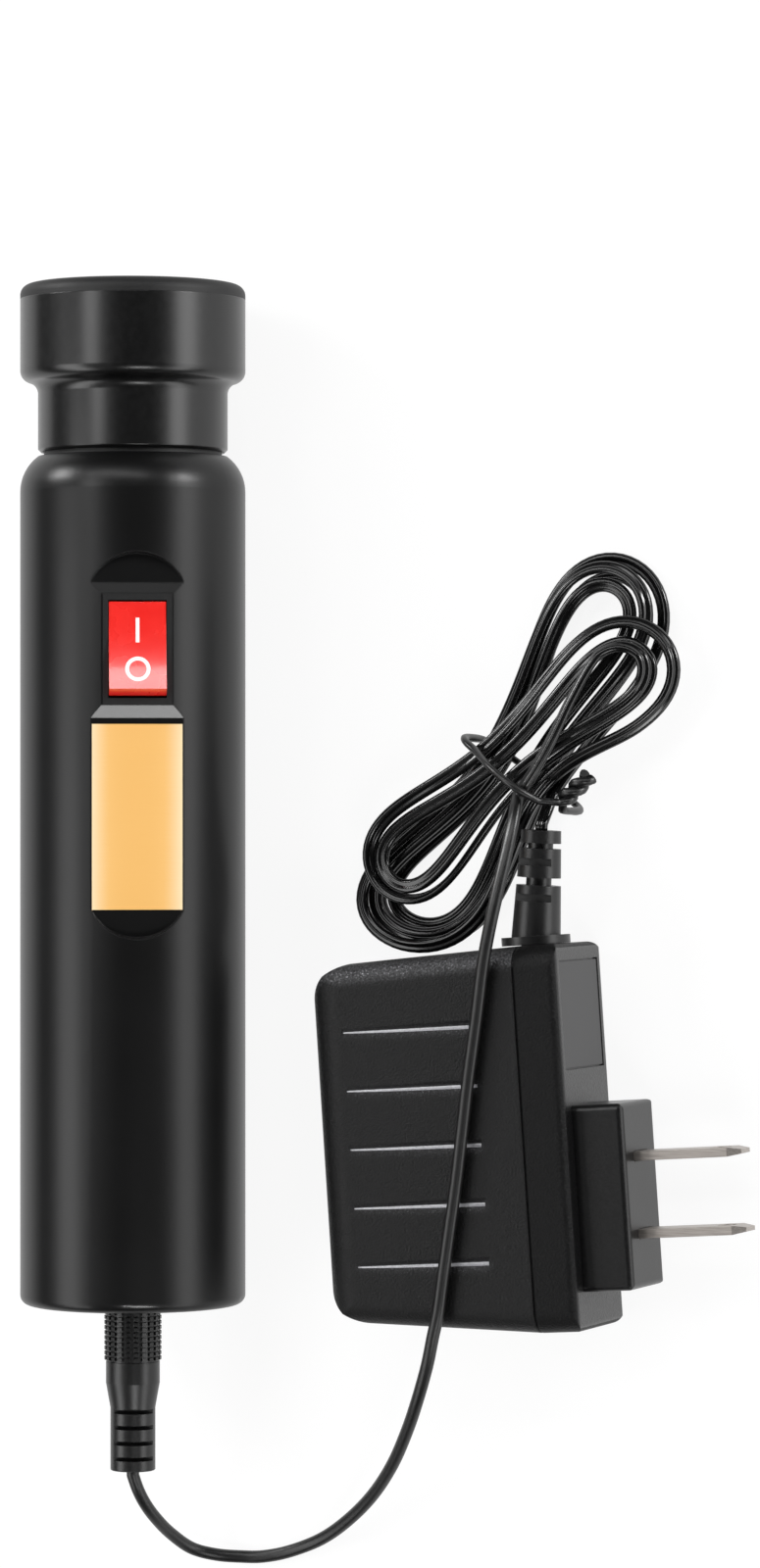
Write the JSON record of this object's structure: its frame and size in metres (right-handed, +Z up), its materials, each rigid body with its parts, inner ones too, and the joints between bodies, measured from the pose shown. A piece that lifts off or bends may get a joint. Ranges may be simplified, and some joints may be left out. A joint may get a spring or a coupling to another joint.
{
  "type": "egg candling lamp",
  "caption": "Hand lamp with a round barrel, a soft-rimmed cup for an egg, a rocker switch and a plug-in supply on a tied lead.",
  "frame": {"origin": "under the middle of the lamp, on the table it lies on", "axes": "+Y along the barrel from the base to the egg seat, +Z up from the table, the supply at +X"},
  "size_m": [0.1264, 0.2175, 0.0397],
  "materials": {
    "barrel_coat": "fine textured black coat",
    "gold_plate": "brushed gold",
    "matte_black": "matt moulded",
    "gloss_black": "glossy moulded",
    "rubber_black": "soft, matt",
    "clear": "clear",
    "mirror_cone": "bright plated",
    "white_board": "white mask",
    "emitter": "yellow phosphor",
    "steel": "nickel plated",
    "aluminium": "turned",
    "brass": "stamped",
    "red_gloss": "glossy moulded",
    "red_wire": "plastic insulation",
    "black_wire": "plastic insulation",
    "soft_black": "soft moulded plastic",
    "lead_black": "soft plastic, satin",
    "tie_black": "soft plastic",
    "case_black": "fine spark-eroded texture",
    "green_board": "solder mask",
    "yellow_tape": "taped winding",
    "can": "sleeved can"
  },
  "bodies": {
    "lamp": {"barrel": "barrel_coat", "label_plate": "gold_plate", "end_cap": "matte_black", "head_collar": "gloss_black", "neck_gasket": "rubber_black", "egg_seat": "rubber_black", "window": "clear", "reflector": "mirror_cone", "led_board": "white_board", "led_emitter": "emitter", "board_screws": "steel", "heat_sink": "aluminium", "jack_body": "matte_black", "jack_nut": "steel", "jack_pin": "brass", "jack_spring": "brass", "switch_housing": "matte_black", "switch_terminals": "brass", "wire_jack_switch": "red_wire", "wire_switch_led": "red_wire", "wire_led_jack": "black_wire"},
    "rocker": {"rocker": "red_gloss"},
    "lever": {"contact_lever": "brass"},
    "supply": {"plug_sleeve": "steel", "plug_insulator": "matte_black", "plug_grip": "soft_black", "lead_free": "lead_black", "lead_hank": "lead_black", "lead_tail": "lead_black", "hank_tie": "tie_black", "adapter_boot": "soft_black", "rear_case": "case_black", "front_cover": "case_black", "prong_block": "case_black", "blades": "steel", "blade_springs": "brass", "adapter_board": "green_board", "transformer": "yellow_tape", "capacitors": "can"}
  },
  "joints": [
    {"name": "rocker_tilt", "type": "hinge", "parent": "lamp", "child": "rocker", "pos_m": [0.00753, 0.0241, 0.03317], "axis": [0.8829, 0, -0.4695], "range_deg": [0, 18]},
    {"name": "lever_tilt", "type": "hinge", "parent": "lamp", "child": "lever", "pos_m": [0.005, 0.0241, 0.0284], "axis": [0.8829, 0, -0.4695], "range_deg": [-14, 0]},
    {"name": "plug_pull", "type": "slide", "parent": "lamp", "child": "supply", "axis": [0, -1, 0], "range_m": [0, 0.012]}
  ],
  "couplings": [
    {"joint": "lever_tilt", "follows": "rocker_tilt", "ratio": -0.77778}
  ]
}
